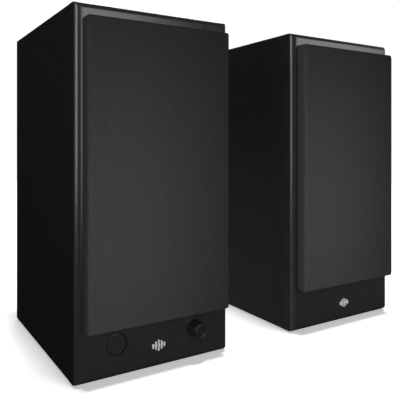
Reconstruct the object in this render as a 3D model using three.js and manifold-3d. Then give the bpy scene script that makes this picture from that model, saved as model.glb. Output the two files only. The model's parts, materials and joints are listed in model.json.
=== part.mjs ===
// A pair of powered desktop speakers: an active cabinet that holds the amplifier, and a passive one.
// Millimetres. +X runs from the active speaker to the passive one, +Y points to the back, +Z is up.
// The origin is on the desk, under the middle of the pair.

import * as THREE from 'three';
import { mergeVertices } from 'three/addons/utils/BufferGeometryUtils.js';
import Module from 'manifold-3d';

const wasm = await Module();
wasm.setup();

// ---- Driving dimensions ----

const WIDTH = 170;
const HEIGHT = 355;
const DEPTH = 228;
const FOOT_HEIGHT = 1.5;
const SPACE_BETWEEN = 92;
const GRILLE_PROUD = 14;
const REAR_PROUD = 20;

const FRONT = (GRILLE_PROUD - REAR_PROUD - DEPTH) / 2;
const BACK = FRONT + DEPTH;
const SPEAKER_X = (WIDTH + SPACE_BETWEEN) / 2;
const MIDDLE_Z = (HEIGHT + FOOT_HEIGHT) / 2;
const BOX_HEIGHT = HEIGHT - FOOT_HEIGHT;

const WALL = 12;
const BAFFLE_DEPTH = 18;
const BAFFLE_EDGE = 6;
const SHELL_FRONT = FRONT + BAFFLE_DEPTH + 0.25;

const GRILLE = { width: 155, height: 290, bottom: 50.8, corner: 8, edge: 7, bar: 11 };
const GRILLE_Z = GRILLE.bottom + GRILLE.height / 2;
const GRILLE_BACK = FRONT - 0.4;
const CLOTH = 0.8;
const CROSS_BAR = { z: 205.5, height: 9 };
const PEG = { radius: 3, length: 10, x: 70.9, z: [64, 326] };

const WOOFER_Z = 130;
const TWEETER_Z = 262;
const CONTROL_Z = 34;
const BADGE = { width: 14.4, height: 11.3, z: 24.3, bars: [0.42, 0.74, 1, 0.74, 0.42], barWidth: 1.9 };
const WINDOW = { x: -44.4, radius: 10.2, flange: 12.7 };
const KNOB = { x: 42, rearRadius: 8.3, frontRadius: 7.6, front: FRONT - 13.6, back: FRONT - 1 };
const POCKET = { width: 120, bottom: 18.5, top: 49.5, floor: FRONT + 5 };

const PORT = { z: 290, radius: 22, wall: 2.5, neck: 27.5, flange: 33, length: 95 };
const AMP_PLATE = { width: 126, height: 205, bottom: 28, thickness: 2.5, corner: 4 };
const AMP_PLATE_Z = AMP_PLATE.bottom + AMP_PLATE.height / 2;
const AMP_CUTOUT = { width: 110, height: 186 };
const PLATE_BACK = BACK + 0.25;
const PLATE_FACE = PLATE_BACK + AMP_PLATE.thickness;
const BOARD = { y: BACK - 24, thickness: 1.6 };
const SINK = { width: 100, bottom: 160, top: 222, base: 3, finDepth: 9, fin: 2, fins: 11 };
const SIGNAL_ROW_Z = 140;
const RCA = { x: [14, 30], radius: 4.15, reach: 10 };
const AUX_X = -14;
const OPTICAL_X = -36;
const OUTPUT_Z = 102;
const POST_SPACING = 19;
const POST = { radius: 2.4, reach: 11 };
const CAP = { radius: 7, bore: 2.8, length: 13.75, teeth: 16, gap: 0.5 };
const POWER = { z: 55, width: 62, height: 32, inletX: 14, rockerX: -14 };
const ROCKER = { width: 14, half: 9.3, tilt: THREE.MathUtils.degToRad(8), pivot: PLATE_FACE - 1 };
const CUP = { z: 110, plate: 84, outer: 64, wall: 2.5, depth: 22 };

const BIG_ROUND = 24;
const MEDIUM_ROUND = 16;
const SMALL_ROUND = 10;
const CORNER_STEPS = 2;
const EDGE_STEPS = 3;
const PASS = 40;

// ---- Finishes ----

const finish = (color, roughness, metalness = 0) => ({ color, roughness, metalness });
const VINYL = finish(0x1b1b1c, 0.6);
const PAINT = finish(0x202021, 0.42);
const SILVER = finish(0xc4c5c6, 0.3, 1);
const CLOTH_BLACK = finish(0x2b2c2d, 0.95);
const PLASTIC = finish(0x161616, 0.45);
const SATIN_PLASTIC = finish(0x1e1e1f, 0.35);
const SMOKED = finish(0x0c0b0c, 0.08);
const RUBBER = finish(0x101010, 0.9);
const STEEL = finish(0x3a3b3d, 0.4, 1);
const CONE_BLACK = finish(0x17181a, 0.55);
const DOME_SILK = finish(0x141415, 0.7);
const COPPER = finish(0xa8622f, 0.35, 1);
const SPIDER_YELLOW = finish(0xb8862d, 0.85);
const BOARD_GREEN = finish(0x1d4a2c, 0.55);
const PLATE_BLACK = finish(0x151516, 0.5, 0.6);
const RED = finish(0x9c1414, 0.4);
const GOLD = finish(0xb08d3c, 0.3, 1);

// ---- Solids ----

function solid(geometry) {
  const bare = geometry.clone();
  bare.deleteAttribute('normal');
  bare.deleteAttribute('uv');
  const merged = mergeVertices(bare);
  const corners = merged.index.array;
  const kept = [];
  for (let i = 0; i < corners.length; i += 3) {
    const [a, b, c] = corners.slice(i, i + 3);
    if (a !== b && b !== c && c !== a) {
      kept.push(a, b, c);
    }
  }
  const vertProperties = merged.attributes.position.array;
  return new wasm.Manifold(new wasm.Mesh({ numProp: 3, vertProperties, triVerts: new Uint32Array(kept) }));
}

function geometryOf(shape) {
  const { vertProperties, triVerts } = shape.getMesh();
  const geometry = new THREE.BufferGeometry();
  geometry.setAttribute('position', new THREE.BufferAttribute(vertProperties, 3));
  geometry.setIndex(new THREE.BufferAttribute(triVerts, 1));
  geometry.computeVertexNormals();
  return geometry;
}

// A box given by its low and high corners.
function box(low, high) {
  const size = high.map((value, axis) => value - low[axis]);
  const geometry = new THREE.BoxGeometry(...size);
  geometry.translate(...low.map((value, axis) => value + size[axis] / 2));
  return solid(geometry);
}

// A round bar along Y, from front to back.
function rod(radius, front, back, x = 0, z = 0, segments = SMALL_ROUND) {
  const geometry = new THREE.CylinderGeometry(radius, radius, back - front, segments);
  geometry.translate(x, (front + back) / 2, z);
  return solid(geometry);
}

// A profile of [radius, depth] points turned round the Y axis. It closes on itself or on the axis.
function turned(profile, segments) {
  const points = profile.map(([radius, depth]) => new THREE.Vector2(radius, depth));
  if (THREE.ShapeUtils.area(points) < 0) {
    points.reverse();
  }
  if (points[0].x > 0) {
    points.push(points[0].clone());
  }
  return solid(new THREE.LatheGeometry(points, segments));
}

function roundedOutline(width, height, radius) {
  const x = width / 2 - radius;
  const z = height / 2 - radius;
  const shape = new THREE.Shape();
  if (radius === 0) {
    return new THREE.Shape([[-x, -z], [x, -z], [x, z], [-x, z]].map((at) => new THREE.Vector2(...at)));
  }
  shape.absarc(x, z, radius, 0, Math.PI / 2);
  shape.absarc(-x, z, radius, Math.PI / 2, Math.PI);
  shape.absarc(-x, -z, radius, Math.PI, 1.5 * Math.PI);
  shape.absarc(x, -z, radius, 1.5 * Math.PI, 2 * Math.PI);
  shape.closePath();
  return shape;
}

// A flat outline in the XZ plane, given thickness from front to back.
function slab(shape, front, back, x = 0, z = 0) {
  const settings = { depth: back - front, bevelEnabled: false, curveSegments: CORNER_STEPS };
  const geometry = new THREE.ExtrudeGeometry(shape, settings);
  geometry.rotateX(Math.PI / 2);
  geometry.translate(x, back, z);
  return solid(geometry);
}

// A slab whose front perimeter is rounded over by edge. Its back is cut flat.
function roundedFrontSlab({ width, height, corner, edge }, front, back, z) {
  const shape = roundedOutline(width - 2 * edge, height - 2 * edge, Math.max(corner - edge, 0));
  const depth = back - front;
  const settings = {
    depth,
    bevelThickness: edge,
    bevelSize: edge,
    bevelSegments: EDGE_STEPS,
    curveSegments: CORNER_STEPS,
  };
  const geometry = new THREE.ExtrudeGeometry(shape, settings);
  geometry.rotateX(Math.PI / 2);
  geometry.translate(0, front + depth + edge, z);
  const behind = box([-width, back, z - height], [width, back + PASS, z + height]);
  return solid(geometry).subtract(behind);
}

function join(first, ...others) {
  return others.reduce((whole, other) => whole.add(other), first);
}

function cut(first, ...others) {
  return others.reduce((whole, other) => whole.subtract(other), first);
}

function piece(name, shape, { color, roughness, metalness }, position = [0, 0, 0]) {
  const material = new THREE.MeshStandardMaterial({ color, roughness, metalness });
  const mesh = new THREE.Mesh(geometryOf(shape), material);
  mesh.name = name;
  mesh.position.set(...position);
  return mesh;
}

// ---- Cabinet ----

// The top, bottom, sides and back in one glued box, open at the front.
function cabinetShell(rearOpening) {
  const outer = slab(roundedOutline(WIDTH, BOX_HEIGHT, 1.2), SHELL_FRONT, BACK, 0, MIDDLE_Z);
  const halfWidth = WIDTH / 2 - WALL;
  const halfHeight = BOX_HEIGHT / 2 - WALL;
  const low = [-halfWidth, SHELL_FRONT - PASS, MIDDLE_Z - halfHeight];
  const high = [halfWidth, BACK - WALL, MIDDLE_Z + halfHeight];
  const portHole = rod(PORT.neck + 1, BACK - PASS, BACK + PASS, 0, PORT.z, MEDIUM_ROUND);
  return cut(outer, box(low, high), portHole, rearOpening);
}

function ampOpening() {
  const { width, height } = AMP_CUTOUT;
  const low = [-width / 2, BACK - PASS, AMP_PLATE_Z - height / 2];
  return box(low, [width / 2, BACK + PASS, AMP_PLATE_Z + height / 2]);
}

function cupOpening() {
  const half = CUP.outer / 2 + 1;
  return box([-half, BACK - PASS, CUP.z - half], [half, BACK + PASS, CUP.z + half]);
}

// The front panel, rounded over all round, bored and rebated for both drivers and the grille's pegs.
function baffle() {
  const size = { width: WIDTH, height: BOX_HEIGHT, corner: 0, edge: BAFFLE_EDGE };
  const panel = roundedFrontSlab(size, FRONT, FRONT + BAFFLE_DEPTH, MIDDLE_Z);
  const sockets = pegPlaces().map(([x, z]) => rod(PEG.radius + 0.4, FRONT - 1, FRONT + PEG.length + 1, x, z));
  return cut(
    panel,
    rod(67.4, FRONT - 1, FRONT + 4.3, 0, WOOFER_Z, BIG_ROUND),
    rod(58.6, FRONT - 1, FRONT + PASS, 0, WOOFER_Z, BIG_ROUND),
    rod(48.4, FRONT - 1, FRONT + 4.3, 0, TWEETER_Z, BIG_ROUND),
    rod(35.5, FRONT - 1, FRONT + PASS, 0, TWEETER_Z, BIG_ROUND),
    ...sockets,
  );
}

// The active speaker's front panel also has a pocket behind it for the controls.
function activeBaffle() {
  const low = [-POCKET.width / 2, POCKET.floor, POCKET.bottom];
  const pocket = box(low, [POCKET.width / 2, FRONT + PASS, POCKET.top]);
  const windowHole = rod(WINDOW.radius + 0.4, FRONT - 1, FRONT + PASS, WINDOW.x, CONTROL_Z, MEDIUM_ROUND);
  return cut(baffle(), pocket, windowHole, rod(5.2, FRONT - 1, FRONT + PASS, KNOB.x, CONTROL_Z));
}

function pegPlaces() {
  return PEG.z.flatMap((z) => [[-PEG.x, z], [PEG.x, z]]);
}

// A plain mark of upright bars on a thin line.
function badge() {
  const { width, height, bars, barWidth, z } = BADGE;
  const back = FRONT - 0.2;
  const front = back - 1.2;
  const pitch = (width - barWidth) / (bars.length - 1);
  const line = box([-width / 2, front, z - 0.5], [width / 2, back, z + 0.5]);
  const uprights = bars.map((share, i) => {
    const x = -width / 2 + i * pitch;
    return box([x, front, z - share * height / 2], [x + barWidth, back, z + share * height / 2]);
  });
  return join(line, ...uprights);
}

function foot() {
  const geometry = new THREE.CylinderGeometry(7, 7, FOOT_HEIGHT, SMALL_ROUND);
  geometry.rotateX(Math.PI / 2);
  return solid(geometry);
}

// A straight duct that flares out at its mouth, behind a round flange.
function portTube() {
  const { radius, wall, neck, flange, length } = PORT;
  return turned([
    [radius, -length], [radius, -9], [radius + 1.5, -3.5], [radius + 4.5, 2.75], [flange, 2.75],
    [flange, 0.25], [neck, 0.25], [neck, -9], [radius + wall, -12], [radius + wall, -length],
  ], MEDIUM_ROUND);
}

// ---- Grille ----

// A moulded frame with one cross bar and four pegs that push into the front panel.
function grilleFrame() {
  const inset = CLOTH + 0.3;
  const width = GRILLE.width - 2 * inset;
  const height = GRILLE.height - 2 * inset;
  const size = { width, height, corner: GRILLE.corner - inset, edge: GRILLE.edge - inset };
  const front = FRONT - GRILLE_PROUD + inset;
  const halfWidth = width / 2 - GRILLE.bar;
  const low = GRILLE_Z - height / 2 + GRILLE.bar;
  const high = GRILLE_Z + height / 2 - GRILLE.bar;
  const barLow = CROSS_BAR.z - CROSS_BAR.height / 2;
  const barHigh = CROSS_BAR.z + CROSS_BAR.height / 2;
  const pegs = pegPlaces().map(([x, z]) => rod(PEG.radius, GRILLE_BACK - 2, FRONT + PEG.length, x, z));
  const frame = cut(
    roundedFrontSlab(size, front, GRILLE_BACK, GRILLE_Z),
    box([-halfWidth, front - 1, low], [halfWidth, FRONT, barLow]),
    box([-halfWidth, front - 1, barHigh], [halfWidth, FRONT, high]),
  );
  return join(frame, ...pegs);
}

// The cloth is stretched over the frame's front and down its sides.
function grilleCloth() {
  const front = FRONT - GRILLE_PROUD;
  const inner = {
    width: GRILLE.width - 2 * CLOTH,
    height: GRILLE.height - 2 * CLOTH,
    corner: GRILLE.corner - CLOTH,
    edge: GRILLE.edge - CLOTH,
  };
  const hollow = roundedFrontSlab(inner, front + CLOTH, FRONT, GRILLE_Z);
  return roundedFrontSlab(GRILLE, front, GRILLE_BACK, GRILLE_Z).subtract(hollow);
}

// ---- Woofer, all turned about its own axis, with depth counted in from the baffle's face ----

function wooferBasket() {
  const shell = turned([
    [56.4, 1.5], [60, 1.5], [60, 0], [67, 0], [67, 4], [58, 4], [58, 12], [42, 44],
    [21, 44], [21, 41], [40, 41], [56.4, 11],
  ], BIG_ROUND);
  const windows = Array.from({ length: 3 }, (_, i) => {
    const slot = new THREE.BoxGeometry(140, 13, 30);
    slot.translate(0, 20.5, 0);
    slot.rotateY((i * Math.PI) / 3);
    return solid(slot);
  });
  return cut(shell, ...windows);
}

function wooferMotor() {
  return turned([
    [0, 44.6], [16, 44.6], [16, 66], [20.6, 66], [20.6, 44.4], [38, 44.4], [38, 50],
    [41, 50], [41, 70], [38, 70], [38, 76], [0, 76],
  ], MEDIUM_ROUND);
}

function wooferCone() {
  const front = [[0, 13], [8, 13.9], [15, 16.2], [19.6, 19.2], [33, 11.2], [46, 3], [48, 2.2]];
  const back = [[48, 3.4], [46.4, 4.3], [21, 20.3], [21, 24], [19.7, 24], [19.7, 20.4], [15, 17.5], [8, 15.2], [0, 14.3]];
  return turned([...front, ...back], BIG_ROUND);
}

function wooferSurround() {
  const middle = 52;
  const seat = { front: 0.8, back: 1.3 };
  const steps = 4;
  const roll = (radius, depth) => Array.from({ length: steps + 1 }, (_, i) => {
    const angle = Math.PI * (1 - i / steps);
    return [middle + radius * Math.cos(angle), depth - radius * Math.sin(angle)];
  });
  return turned([
    [45.5, seat.front], ...roll(4.2, seat.front), [59.7, seat.front],
    [59.7, seat.back], ...roll(3.5, seat.back).reverse(), [45.5, seat.back],
  ], BIG_ROUND);
}

function voiceCoil() {
  return turned([[17.3, 21], [19.3, 21], [19.3, 58], [17.3, 58]], MEDIUM_ROUND);
}

// A corrugated disc that centres the voice coil in the basket.
function spider() {
  const inner = 19.7;
  const outer = 43.8;
  const waves = 4;
  const line = (depth) => Array.from({ length: waves + 1 }, (_, i) => {
    const swing = i % 2 === 0 ? 0 : 1.4;
    return [inner + ((outer - inner) * i) / waves, depth + swing];
  });
  return turned([...line(30), ...line(30.8).reverse()], MEDIUM_ROUND);
}

// ---- Tweeter ----

function tweeterPlate() {
  return turned([
    [14.7, 7], [22, 2.6], [31, 0], [48, 0], [48, 4], [35, 4], [30, 9], [14.7, 9],
  ], BIG_ROUND);
}

function tweeterDome() {
  return turned([
    [0, 2.6], [7, 4], [12, 8], [14.2, 8], [14.2, 8.7], [13.4, 8.7], [13.4, 14],
    [12.6, 14], [12.6, 9.2], [6.6, 4.9], [0, 3.4],
  ], MEDIUM_ROUND);
}

function tweeterMotor() {
  return turned([
    [0, 10.5], [11.8, 10.5], [11.8, 18], [14.4, 18], [14.4, 9.5], [33, 9.5], [33, 30], [0, 30],
  ], MEDIUM_ROUND);
}

// ---- Front controls of the active speaker ----

// A smoked lens over the remote's sensor, pushed in from behind up to its flange.
function sensorWindow() {
  const lens = rod(WINDOW.radius, FRONT, POCKET.floor + 1, WINDOW.x, CONTROL_Z, MEDIUM_ROUND);
  const flange = rod(WINDOW.flange, POCKET.floor + 0.25, POCKET.floor + 1.5, WINDOW.x, CONTROL_Z, MEDIUM_ROUND);
  return join(lens, flange);
}

function controlBoard() {
  const face = FRONT + 16;
  const board = box([-57, face, CONTROL_Z - 13], [57, face + BOARD.thickness, CONTROL_Z + 13]);
  const receiver = box([WINDOW.x - 4, face - 6, CONTROL_Z - 3], [WINDOW.x + 4, face + 1, CONTROL_Z + 3]);
  const spacers = [[-20, -9], [20, -9], [-20, 9], [20, 9]].map(([x, z]) => {
    return rod(2.5, POCKET.floor + 0.25, face + 1, x, CONTROL_Z + z);
  });
  return join(board, receiver, ...spacers);
}

function volumeKnob() {
  const length = KNOB.back - KNOB.front;
  const boreDepth = 9.6;
  const bore = 3.3;
  return turned([
    [0, 0], [KNOB.frontRadius - 0.6, 0], [KNOB.frontRadius, 0.6], [KNOB.rearRadius, length],
    [bore, length], [bore, length - boreDepth], [0, length - boreDepth],
  ], MEDIUM_ROUND);
}

function encoderShaft() {
  return rod(3, KNOB.back - 9.2, FRONT + 11.7, KNOB.x, CONTROL_Z);
}

function encoderPlunger() {
  const from = FRONT + 12;
  return box([KNOB.x - 3, from, CONTROL_Z - 3], [KNOB.x + 3, from + 2.4, CONTROL_Z + 3]);
}

function encoderBody() {
  const back = FRONT + 15.7;
  const half = 6.5;
  const from = POCKET.floor + 0.3;
  const housing = box([KNOB.x - half, from, CONTROL_Z - half], [KNOB.x + half, back, CONTROL_Z + half]);
  const bushing = rod(4.7, FRONT + 1.5, from + 1, KNOB.x, CONTROL_Z);
  const bore = rod(3.3, FRONT, back + 1, KNOB.x, CONTROL_Z);
  const well = box([KNOB.x - 3.4, FRONT + 11, CONTROL_Z - 3.4], [KNOB.x + 3.4, back + 1, CONTROL_Z + 3.4]);
  return cut(join(housing, bushing), bore, well);
}

// ---- Rear of the active speaker ----

function ampPlate() {
  const plate = slab(
    roundedOutline(AMP_PLATE.width, AMP_PLATE.height, AMP_PLATE.corner), PLATE_BACK, PLATE_FACE, 0, AMP_PLATE_Z,
  );
  const through = (low, high) => box([low[0], PLATE_BACK - 1, low[1]], [high[0], PLATE_FACE + 1, high[1]]);
  const halfWidth = POWER.width / 2 - 3;
  const halfHeight = POWER.height / 2 - 3;
  return cut(
    plate,
    ...RCA.x.map((x) => rod(5.2, PLATE_BACK - 1, PLATE_FACE + 1, x, SIGNAL_ROW_Z)),
    rod(3.7, PLATE_BACK - 1, PLATE_FACE + 1, AUX_X, SIGNAL_ROW_Z),
    through([OPTICAL_X - 5.3, SIGNAL_ROW_Z - 5.3], [OPTICAL_X + 5.3, SIGNAL_ROW_Z + 5.3]),
    through([-22, OUTPUT_Z - 9], [22, OUTPUT_Z + 9]),
    through([-halfWidth, POWER.z - halfHeight], [halfWidth, POWER.z + halfHeight]),
  );
}

// A finned bar: a base with upright fins on its outer face.
function heatSink() {
  const { width, bottom, top, base, finDepth, fin, fins } = SINK;
  const from = PLATE_FACE + 0.25;
  const pitch = (width - fin) / (fins - 1);
  const tip = from + base + finDepth;
  const shape = new THREE.Shape();
  shape.moveTo(-width / 2, from);
  shape.lineTo(width / 2, from);
  for (let i = fins - 1; i >= 0; i -= 1) {
    const left = -width / 2 + i * pitch;
    shape.lineTo(left + fin, tip);
    shape.lineTo(left, tip);
    if (i > 0) {
      shape.lineTo(left, from + base);
      shape.lineTo(left + fin - pitch, from + base);
    }
  }
  shape.closePath();
  const geometry = new THREE.ExtrudeGeometry(shape, { depth: top - bottom, bevelEnabled: false });
  geometry.translate(0, 0, bottom);
  return solid(geometry);
}

function rcaJacks() {
  const [first, last] = RCA.x;
  const housing = box([first - 9, BOARD.y + 3, SIGNAL_ROW_Z - 8], [last + 9, PLATE_BACK - 0.25, SIGNAL_ROW_Z + 8]);
  const barrels = RCA.x.map((x) => {
    return rod(RCA.radius, PLATE_BACK - 2, PLATE_FACE + RCA.reach, x, SIGNAL_ROW_Z);
  });
  const holes = RCA.x.map((x) => rod(1.7, PLATE_FACE + 1, PLATE_FACE + PASS, x, SIGNAL_ROW_Z));
  return cut(join(housing, ...barrels), ...holes);
}

function opticalSocket() {
  const at = (half, front, back) => {
    return box([OPTICAL_X - half, front, SIGNAL_ROW_Z - half], [OPTICAL_X + half, back, SIGNAL_ROW_Z + half]);
  };
  return at(4.9, BOARD.y + 8, PLATE_FACE + 1).subtract(at(3.3, PLATE_FACE - 7, PLATE_FACE + 2));
}

function auxJack() {
  const body = box([AUX_X - 6, BOARD.y + 8, SIGNAL_ROW_Z - 5.5], [AUX_X + 6, PLATE_BACK - 0.25, SIGNAL_ROW_Z + 5.5]);
  const collar = rod(3.2, PLATE_BACK - 2, PLATE_FACE + 1.5, AUX_X, SIGNAL_ROW_Z);
  return cut(join(body, collar), rod(1.8, BOARD.y + 12, PLATE_FACE + 2, AUX_X, SIGNAL_ROW_Z));
}

function postPlaces(z) {
  return [[-POST_SPACING / 2, z], [POST_SPACING / 2, z]];
}

function speakerTerminalBlock() {
  const seat = PLATE_FACE + 3;
  const base = box([-26, PLATE_FACE + 0.25, OUTPUT_Z - 12], [26, seat, OUTPUT_Z + 12]);
  const neck = box([-21, BACK - 10, OUTPUT_Z - 8], [21, PLATE_FACE + 1, OUTPUT_Z + 8]);
  const posts = postPlaces(OUTPUT_Z).map(([x, z]) => rod(POST.radius, seat - 1, seat + POST.reach, x, z));
  return join(base, neck, ...posts);
}

// A knurled cap with a blind bore, that screws down a threaded post.
function terminalCap() {
  const { radius, bore, length, teeth } = CAP;
  const outline = new THREE.Shape(Array.from({ length: 2 * teeth }, (_, i) => {
    const reach = i % 2 === 0 ? radius : radius - 0.6;
    const angle = (i * Math.PI) / teeth;
    return new THREE.Vector2(reach * Math.cos(angle), reach * Math.sin(angle));
  }));
  return slab(outline, 0, length).subtract(rod(bore, -1, length - 2));
}

// The mains inlet and the switch's frame, moulded as one unit.
function powerInlet() {
  const { z, width, height, inletX, rockerX } = POWER;
  const halfWidth = width / 2;
  const halfHeight = height / 2;
  const face = PLATE_FACE + 2.25;
  const flange = box([-halfWidth, PLATE_FACE + 0.25, z - halfHeight], [halfWidth, face, z + halfHeight]);
  const body = box([-halfWidth + 3.5, BACK - 18, z - halfHeight + 3.5], [halfWidth - 3.5, face - 1, z + halfHeight - 3.5]);
  const socket = box([inletX - 10, face - 14, z - 6], [inletX + 10, face + 1, z + 6]);
  const pins = [-4.5, 4.5].map((offset) => rod(1.2, face - 15, face - 2, inletX + offset, z));
  const rockerHalf = ROCKER.width / 2 + 0.5;
  const well = box([rockerX - rockerHalf, face - 13, z - 10.8], [rockerX + rockerHalf, face + 1, z + 10.8]);
  return join(cut(join(flange, body), socket, well), ...pins);
}

function powerRocker() {
  const { width, half } = ROCKER;
  const side = [[-half, 4.4], [0, 2.8], [half, 4.4], [half, 0.4], [4, -4], [-4, -4], [-half, 0.4]];
  const shape = new THREE.Shape(side.map(([z, y]) => new THREE.Vector2(y, z)));
  const geometry = new THREE.ExtrudeGeometry(shape, { depth: width, bevelEnabled: false });
  geometry.translate(0, 0, -width / 2);
  geometry.rotateY(Math.PI / 2);
  geometry.rotateX(Math.PI / 2);
  geometry.rotateZ(Math.PI);
  return solid(geometry);
}

function ampBoard() {
  const { y, thickness } = BOARD;
  const board = box([-48, y, 84], [48, y + thickness, 214]);
  const parts = [
    box([-40, y - 12, 170], [40, y + 1, 178]),
    box([-44, y - 18, 96], [-20, y + 1, 120]),
    rod(9, y - 26, y + 1, 28, 104),
    rod(9, y - 26, y + 1, 28, 128),
  ];
  return join(board, ...parts);
}

function powerBoard() {
  const { y, thickness } = BOARD;
  const board = box([-48, y - 8, 42], [48, y - 8 + thickness, 80]);
  const transformer = box([-44, y - 44, 44], [-8, y - 7, 78]);
  return join(board, transformer, rod(10, y - 34, y - 7, 24, 60));
}

// ---- Rear of the passive speaker ----

function terminalCup() {
  const { z, plate, outer, wall, depth } = CUP;
  const half = outer / 2;
  const floor = PLATE_FACE - depth;
  const cover = slab(roundedOutline(plate, plate, 6), PLATE_BACK, PLATE_FACE, 0, z);
  const bowl = box([-half, floor - wall, z - half], [half, PLATE_BACK + 1, z + half]);
  const inside = half - wall;
  const hollow = box([-inside, floor, z - inside], [inside, PLATE_FACE + 1, z + inside]);
  const posts = postPlaces(z).map(([x, height]) => rod(POST.radius, floor - 1, floor + POST.reach, x, height));
  return join(cut(join(cover, bowl), hollow), ...posts);
}

function crossoverBoard() {
  const y = PLATE_FACE - CUP.depth - CUP.wall - 14;
  const z = CUP.z;
  const board = box([-45, y, z - 32], [45, y + BOARD.thickness, z + 32]);
  const spacers = [[-24, -24], [24, -24], [-24, 24], [24, 24]].map(([x, up]) => {
    return rod(2.5, y + 1, y + 13.7, x, z + up);
  });
  const coil = rod(15, y - 12, y + 1, -22, z + 8, MEDIUM_ROUND);
  const capacitor = box([6, y - 12, z - 20], [34, y + 1, z - 6]);
  return join(board, coil, capacitor, ...spacers);
}

// ---- Assembly ----

function enclosure(side, front, rearOpening) {
  const group = new THREE.Group();
  group.add(
    piece(`${side}_cabinet`, cabinetShell(rearOpening), VINYL),
    piece(`${side}_baffle`, front, PAINT),
    piece(`${side}_badge`, badge(), SILVER),
    piece(`${side}_port_tube`, portTube(), PLASTIC, [0, BACK, PORT.z]),
    piece(`${side}_grille_frame`, grilleFrame(), PLASTIC),
    piece(`${side}_grille_cloth`, grilleCloth(), CLOTH_BLACK),
  );
  const places = { front_left: [-68, FRONT + 28], front_right: [68, FRONT + 28], rear_left: [-68, BACK - 20], rear_right: [68, BACK - 20] };
  for (const [name, [x, y]] of Object.entries(places)) {
    group.add(piece(`${side}_foot_${name}`, foot(), RUBBER, [x, y, FOOT_HEIGHT / 2]));
  }
  return group;
}

function drivers(side) {
  const woofer = new THREE.Group();
  woofer.position.set(0, FRONT, WOOFER_Z);
  woofer.add(
    piece(`${side}_woofer_basket`, wooferBasket(), STEEL),
    piece(`${side}_woofer_motor`, wooferMotor(), STEEL),
    piece(`${side}_woofer_cone`, wooferCone(), CONE_BLACK),
    piece(`${side}_woofer_surround`, wooferSurround(), RUBBER),
    piece(`${side}_voice_coil`, voiceCoil(), COPPER),
    piece(`${side}_spider`, spider(), SPIDER_YELLOW),
  );
  const tweeter = new THREE.Group();
  tweeter.position.set(0, FRONT, TWEETER_Z);
  tweeter.add(
    piece(`${side}_tweeter_plate`, tweeterPlate(), PLASTIC),
    piece(`${side}_tweeter_dome`, tweeterDome(), DOME_SILK),
    piece(`${side}_tweeter_motor`, tweeterMotor(), STEEL),
  );
  const group = new THREE.Group();
  group.add(woofer, tweeter);
  return group;
}

function terminalCaps(side, seat, z) {
  const group = new THREE.Group();
  group.add(
    piece(`${side}_terminal_cap_red`, terminalCap(), RED, [-POST_SPACING / 2, seat + CAP.gap, z]),
    piece(`${side}_terminal_cap_black`, terminalCap(), PLASTIC, [POST_SPACING / 2, seat + CAP.gap, z]),
  );
  return group;
}

function frontControls() {
  const group = new THREE.Group();
  group.add(
    piece('sensor_window', sensorWindow(), SMOKED),
    piece('control_board', controlBoard(), BOARD_GREEN),
    piece('volume_knob', volumeKnob(), SATIN_PLASTIC, [KNOB.x, KNOB.front, CONTROL_Z]),
    piece('encoder_shaft', encoderShaft(), STEEL),
    piece('encoder_plunger', encoderPlunger(), PLASTIC),
    piece('encoder_body', encoderBody(), PLASTIC),
  );
  return group;
}

function amplifier() {
  const rocker = piece('power_rocker', powerRocker(), PLASTIC, [POWER.rockerX, ROCKER.pivot, POWER.z]);
  rocker.rotation.x = ROCKER.tilt;
  const group = new THREE.Group();
  group.add(
    piece('amp_plate', ampPlate(), PLATE_BLACK),
    piece('heat_sink', heatSink(), PLATE_BLACK),
    piece('rca_jacks', rcaJacks(), GOLD),
    piece('optical_socket', opticalSocket(), PLASTIC),
    piece('aux_jack', auxJack(), PLASTIC),
    piece('speaker_terminal_block', speakerTerminalBlock(), PLASTIC),
    piece('power_inlet', powerInlet(), PLASTIC),
    piece('amp_board', ampBoard(), BOARD_GREEN),
    piece('power_board', powerBoard(), BOARD_GREEN),
    rocker,
  );
  return group;
}

function activeSpeaker() {
  const speaker = new THREE.Group();
  speaker.position.x = -SPEAKER_X;
  speaker.add(
    enclosure('active', activeBaffle(), ampOpening()),
    drivers('active'),
    frontControls(),
    amplifier(),
    terminalCaps('active', PLATE_FACE + 3, OUTPUT_Z),
  );
  return speaker;
}

function passiveSpeaker() {
  const speaker = new THREE.Group();
  speaker.position.x = SPEAKER_X;
  speaker.add(
    enclosure('passive', baffle(), cupOpening()),
    drivers('passive'),
    piece('terminal_cup', terminalCup(), PLASTIC),
    piece('crossover_board', crossoverBoard(), BOARD_GREEN),
    terminalCaps('passive', PLATE_FACE - CUP.depth, CUP.z),
  );
  return speaker;
}

const speakers = new THREE.Group();
speakers.add(activeSpeaker(), passiveSpeaker());

export default speakers;
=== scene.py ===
"""A pair of powered desktop speakers: the looks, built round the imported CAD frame.
Metres, +Z up, grilles facing -Y. Profiles for turned() are in millimetres."""

import json
import math

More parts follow.
